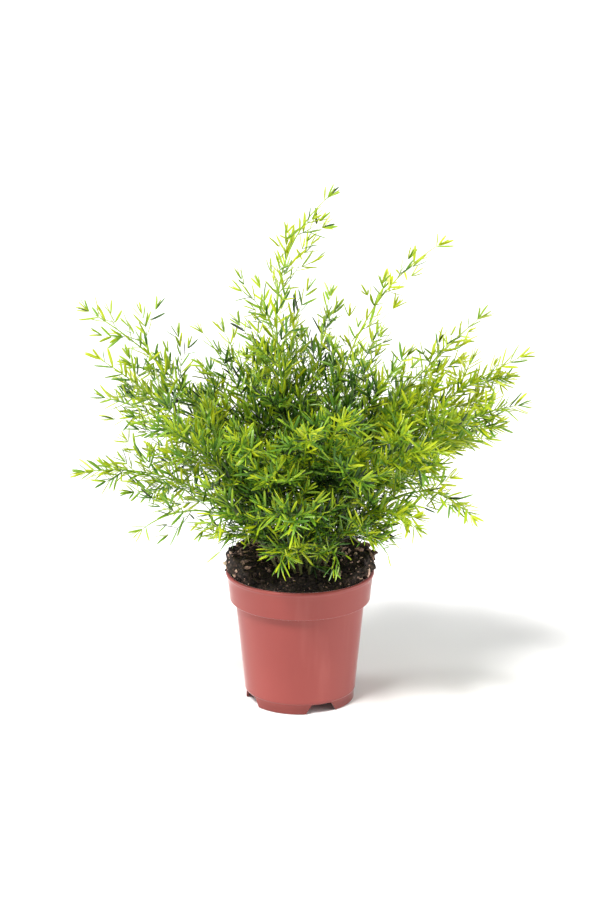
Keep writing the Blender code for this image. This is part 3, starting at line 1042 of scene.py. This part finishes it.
class Frond:
    """One frond in the making: its stalks, and where its needles go."""

    def __init__(self, number, stem, shoots):
        self.chance = random.Random(1000 + number)
        self.stem, self.shoots = stem, shoots
        self.share = THIN_FRONDS.get(number + 1, 1.0)
        self.tip_gain = TIP_GAIN + (FRESH_GAIN if number + 1 in FRESH_FRONDS else 0.0)
        self.stalks = []
        self.needles = []
        self.shift = self.chance.uniform(-0.08, 0.08)

    def fullness(self, point):
        """How densely a spot is grown: thinly at the top and low at the sides."""
        seen = point.z + SIGHT_SLOPE * point.y
        aside = abs(point.x)
        fall, dip_end, ground = RIGHT_SIDE if point.x > 0 else LEFT_SIDE
        dip = rise_from(aside, 20 * MM, 20 * MM) * fall_to(aside, dip_end, 30 * MM)
        top = BUSH_TOP - fall * abs(point.x - BUSH_MIDDLE) - DIP_DEPTH * dip
        high = rise_from(seen, top - 16 * MM, 50 * MM)
        low = fall_to(seen, ground, 30 * MM) * rise_from(aside, 50 * MM, 25 * MM)
        gap = rise_from(-point.x, 85 * MM, 20 * MM)
        gap *= fall_to(abs(seen - LEFT_GAP_HEIGHT), 25.6 * MM, 16 * MM)
        spire = rise_from(seen, 345 * MM, 40 * MM) * fall_to(seen, 430 * MM, 25 * MM)
        right = rise_from(point.x, 40 * MM, 40 * MM) * (1 - high)
        share = self.share * (1 - (0.4 + 0.35 * dip) * high) * (1 + 0.4 * right)
        return share * (1 - 0.8 * low) * (1 - 0.5 * gap) * (1 - 0.4 * spire)

    def is_bare(self, point):
        """Whether a spot is one of those beside the crown where the heaped compost shows."""
        seen = point.z + SIGHT_SLOPE * point.y
        beside = rise_from(abs(point.x), 27 * MM, 8 * MM)
        return self.chance.random() < BARE_SHARE * beside * fall_to(seen, BARE_HEIGHT, 9 * MM)

    def painted_light_tone(self, point):
        """A spot's tone as painted light and shade: deep green inside the bush, lime at its outside
        and top.
        """
        aside = abs(point.x)
        out = rise_from(math.hypot(point.x, point.y), 34 * MM, 52 * MM)
        side = rise_from(aside, 55 * MM, 85 * MM)
        high = rise_from(point.z, 220 * MM, 120 * MM)
        right = rise_from(point.x, 20 * MM, 130 * MM)
        near_tip = fall_to((point - self.stem[3]).length, 24 * MM, 16 * MM)
        front = rise_from(-point.y, 30 * MM, 30 * MM) * fall_to(aside, 75 * MM, 30 * MM)
        # Painted light and shade: lighter outside, on top, at the sides and to the right, darker
        # inside.
        light = SHADED_INSIDE_TONE + OUTSIDE_LIGHT_GAIN * max(out, 0.9 * high) + SIDE_LIGHT_GAIN * side
        light += TOP_LIGHT_GAIN * high + RIGHT_LIGHT_GAIN * right + self.shift
        return light + self.tip_gain * near_tip - FRONT_LOSS * front

    def needle(self, point, heading, tone, share):
        """A needle that leaves a spot, longer and slimmer inside the bush, and darker there with
        painted shade.
        """
        if self.is_bare(point + heading * 8 * MM):
            return
        roll = Quaternion((0, 1, 0), self.chance.gauss(0, 0.8))
        shaded = 1 - rise_from(math.hypot(point.x, point.y), 20 * MM, 55 * MM)
        inner = fall_to(point.z, 230 * MM, 90 * MM) * fall_to(abs(point.x), 100 * MM, 60 * MM)
        length = self.chance.uniform(*NEEDLE_LENGTHS) * (1 + 0.15 * inner) * share
        width = self.chance.uniform(*NEEDLE_WIDTHS) * (1 - 0.35 * inner)
        scale = Vector((length * width, length, length))
        turn = heading.to_track_quat("Y", "Z") @ roll
        # Painted shade darkens the needles that lie deep inside the bush.
        tone += self.chance.gauss(0, 0.24 + 0.09 * inner) - 0.16 * shaded * inner
        tone = min(1.0, max(0.0, tone))
        self.needles.append((Matrix.LocRotScale(point, turn, scale), tone))

    def dress(self, route, start, tone, fan, fan_share):
        """Needles in ones, twos and threes along a stalk, and a fan of them at its tip."""
        lengths = [(b - a).length for a, b in zip(route, route[1:])]
        total = sum(lengths)
        place = start * total + NEEDLE_SPACING * self.chance.random()
        turn = self.chance.uniform(0, math.tau)
        while place < total - 1.0 * MM:
            point, along = self.walk(route, lengths, place)
            turn += math.radians(self.chance.gauss(150, 25))
            together = self.chance.choice((1, 2, 2, 3))
            share = 1 - 0.2 * rise_from(place, total - 14 * MM, 14 * MM)
            for one in range(together):
                bearing = turn + one * math.tau / together + self.chance.gauss(0, 0.3)
                out = self.outward(along, bearing)
                lean = math.radians(self.chance.uniform(*NEEDLE_LEAN))
                heading = along * math.cos(lean) + out * math.sin(lean) + Vector((0, 0, 0.12))
                self.needle(point, heading.normalized(), tone + 0.1 * place / total, share)
            place += NEEDLE_SPACING * self.chance.uniform(0.75, 1.25) / self.fullness(point)
        point, along = self.walk(route, lengths, total * 0.985)
        for one in range(fan):
            out = self.outward(along, turn + one * math.tau / fan)
            lean = math.radians(self.chance.uniform(*FAN_LEAN))
            heading = along * math.cos(lean) + out * math.sin(lean)
            self.needle(point, heading.normalized(), tone + 0.12, fan_share)

    def walk(self, route, lengths, distance):
        """The point at a distance along a route, and the way it heads there."""
        for a, b, length in zip(route, route[1:], lengths):
            if distance <= length:
                break
            distance -= length
        along = (b - a).normalized()
        return a + along * min(distance, length), along

    def outward(self, along, turn):
        """The way straight out of a stalk at a turn round it."""
        return Quaternion(along, turn) @ along.orthogonal().normalized()

    def twig(self, point, leave, along, length, tone):
        """A short stalk with needles that leaves one way and bends towards another."""
        arrive = (leave + along * 0.35 + Vector((0, 0, 0.1))).normalized()
        end = point + (leave + arrive) * length / 2
        ends = (point, point + leave * length / 3, end - arrive * length / 3, end)
        route = [curve_point(ends, step / TWIG_STEPS) for step in range(TWIG_STEPS + 1)]
        lowest = min(spot.z - compost_height(spot.x, spot.y) for spot in route)
        if lowest < 4 * MM or self.is_bare(end):
            return
        slope = (TWIG_TIP_RADIUS - TWIG_RADIUS) / TWIG_STEPS
        radii = [TWIG_RADIUS + slope * step for step in range(TWIG_STEPS + 1)]
        self.stalks.append((route, radii, 5, tone - 0.1))
        self.dress(route, 0.12, tone + self.chance.gauss(0, 0.06), 3, 0.75)

    def twigs(self, route, end, spacing, longest, tone):
        """Twigs along a stalk, to its two sides in turn. Without a tone they take each spot's."""
        lengths = [(b - a).length for a, b in zip(route, route[1:])]
        total = sum(lengths)
        place, side = TWIG_START * total, self.chance.choice((-1, 1))
        while place < end * total:
            point, along = self.walk(route, lengths, place)
            across = (along.cross(Vector((0, 0, 1))) + Vector((0.01, 0, 0))).normalized() * side
            out = Quaternion(along, self.chance.gauss(0, 0.6)) @ across
            length = longest * self.chance.uniform(0.5, 1) * (1.15 - 0.6 * place / total)
            lean = math.radians(self.chance.uniform(*TWIG_LEAN))
            leave = (along * math.cos(lean) + out * math.sin(lean)).normalized()
            local = tone if tone is not None else self.painted_light_tone(point)
            self.twig(point, leave, along, length, local)
            side = -side
            place += spacing * self.chance.uniform(0.8, 1.25) / self.fullness(point)

    def grow(self):
        """Places the stem, its side shoots, their twigs and all needles."""
        route = [curve_point(self.stem, step / STEM_STEPS) for step in range(STEM_STEPS + 1)]
        radii = [stem_radius(step / STEM_STEPS) * SLIM for step in range(STEM_STEPS + 1)]
        tip_tone = self.painted_light_tone(route[-1])
        self.stalks.append((route, radii, 8, tip_tone - STALK_LOSS))
        self.dress(route, 0.3, tip_tone - 0.04, 5, 0.8)
        self.twigs(route, 0.9, STEM_TWIG_SPACING, STEM_TWIG_LENGTH, None)
        for ends in self.shoots:
            route = [curve_point(ends, step / SHOOT_STEPS) for step in range(SHOOT_STEPS + 1)]
            radii = [shoot_radius(step / SHOOT_STEPS) * SLIM for step in range(SHOOT_STEPS + 1)]
            fresh = FRESH_SHOOT_GAIN if self.chance.random() < FRESH_SHOOTS else 0.0
            tone = self.painted_light_tone(route[-1]) + self.chance.gauss(0, 0.07) + fresh
            self.stalks.append((route, radii, 6, tone - STALK_LOSS))
            self.dress(route, 0.1, tone, 4, 0.8)
            if (ends[3] - ends[0]).length > LONG_SHOOT:
                self.twigs(route, 0.8, SHOOT_TWIG_SPACING, SHOOT_TWIG_LENGTH, tone)

    def build(self, name, shapes, finish, node):
        """Makes the frond's piece, its stalks in rows of the map and its needles above them."""
        bm = new_bm()
        rows = map_cells(len(self.stalks), (0, 0), (1, STALK_MAP_TOP), stretch=12.0)
        for (route, radii, sides, tone), cell in zip(self.stalks, rows):
            stamp_rod(bm, route, radii, sides, cell, tone=tone, stalk=1.0)
        cells = map_cells(len(self.needles), (0, STALK_MAP_TOP), (1, 1), stretch=2.0)
        for (place, tone), cell in zip(self.needles, cells):
            stamp(bm, self.chance.choice(shapes), place, cell, tone=tone)
        add_piece(name, mesh_from(bm, name), finish, node)


def check_growth(node, stem, shoots):
    """Stops if a frond's stalks don't lie in their CAD solid's box."""
    tested = [samples(stem, stem_radius)] + [samples(ends, shoot_radius) for ends in shoots]
    points = np.concatenate(tested)[:, :3]
    low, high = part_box(node)
    gap = max(np.abs(points.min(0) - low).max(), np.abs(points.max(0) - high).max())
    if gap > 3.0 * MM:
        raise ValueError(f"{node} is {gap / MM:.1f} mm off its CAD solid")


def make_fronds():
    stems, grown = grow_stems()
    shoots = grow_shoots(stems, grown)
    shapes = needle_shapes()
    finish = foliage_finish()
    for number, (stem, own) in enumerate(zip(stems, shoots)):
        node = f"frond_{number + 1:02d}"
        check_growth(node, stem, own)
        frond = Frond(number, stem, own)
        frond.grow()
        frond.build(f"{node}_foliage", shapes, finish, node)


# ---------------------------------------------------------------- stage, light and camera

CAMERA_PLACE = (0.0, -2.0, 0.79221)
CAMERA_TILT = math.radians(16.262)
CAMERA_LENS = 104.56
WORLD_STRENGTH = 0.4
FLOOR_SIZE = 60.0
# Each sun: name, where it shines from, spread in degrees, strength and tint.
SUNS = (
    ("key", (-0.9, -1.35, 2.4), 14, 3.7, (1.0, 0.985, 0.96)),
    ("fill", (1.9, -0.9, 0.9), 50, 0.6, (0.97, 0.985, 1.0)),
    ("edge_left", (-2.2, 0.1, 0.6), 30, 2.2, (1.0, 1.0, 1.0)),
    ("edge_right", (2.2, 0.1, 0.5), 30, 1.2, (1.0, 1.0, 1.0)),
)


def add_sun(name, place, spread_angle, strength, tint):
    """A soft lamp far away, that shines from a place towards the plant."""
    light = bpy.data.lights.new(name, "SUN")
    light.angle, light.energy, light.color = math.radians(spread_angle), strength, tint
    lamp = bpy.data.objects.new(name, light)
    lamp.rotation_euler = (-Vector(place)).to_track_quat("-Z", "Y").to_euler()
    bpy.context.scene.collection.objects.link(lamp)


def make_stage():
    """A pale floor, the lights and the camera, which looks down on the plant from the front."""
    bm = bmesh.new()
    bmesh.ops.create_grid(bm, x_segments=2, y_segments=2, size=FLOOR_SIZE)
    bmesh.ops.translate(bm, vec=(0, 0, -0.2 * MM), verts=bm.verts)
    floor = bpy.data.objects.new("floor", mesh_from(bm, "floor"))
    bpy.context.scene.collection.objects.link(floor)
    paper = Finish("paper")
    floor.data.materials.append(paper.done(Base_Color=colour(0.95, 0.95, 0.95), Roughness=0.9))

    world = bpy.data.worlds.new("studio")
    bpy.context.scene.world = world
    world.use_nodes = True
    background = world.node_tree.nodes["Background"].inputs
    background["Color"].default_value = colour(1, 1, 1)
    background["Strength"].default_value = WORLD_STRENGTH
    bpy.context.scene.view_settings.view_transform = "Standard"
    for sun in SUNS:
        add_sun(*sun)

    lens = bpy.data.cameras.new("camera")
    lens.lens = CAMERA_LENS
    lens.sensor_width = 36.0
    camera = bpy.data.objects.new("camera", lens)
    camera.location = CAMERA_PLACE
    camera.rotation_euler = (math.pi / 2 - CAMERA_TILT, 0, 0)
    bpy.context.scene.collection.objects.link(camera)
    bpy.context.scene.camera = camera


make_pot()
make_mound()
make_crumbs()
make_fibres()
make_fronds()
make_stage()
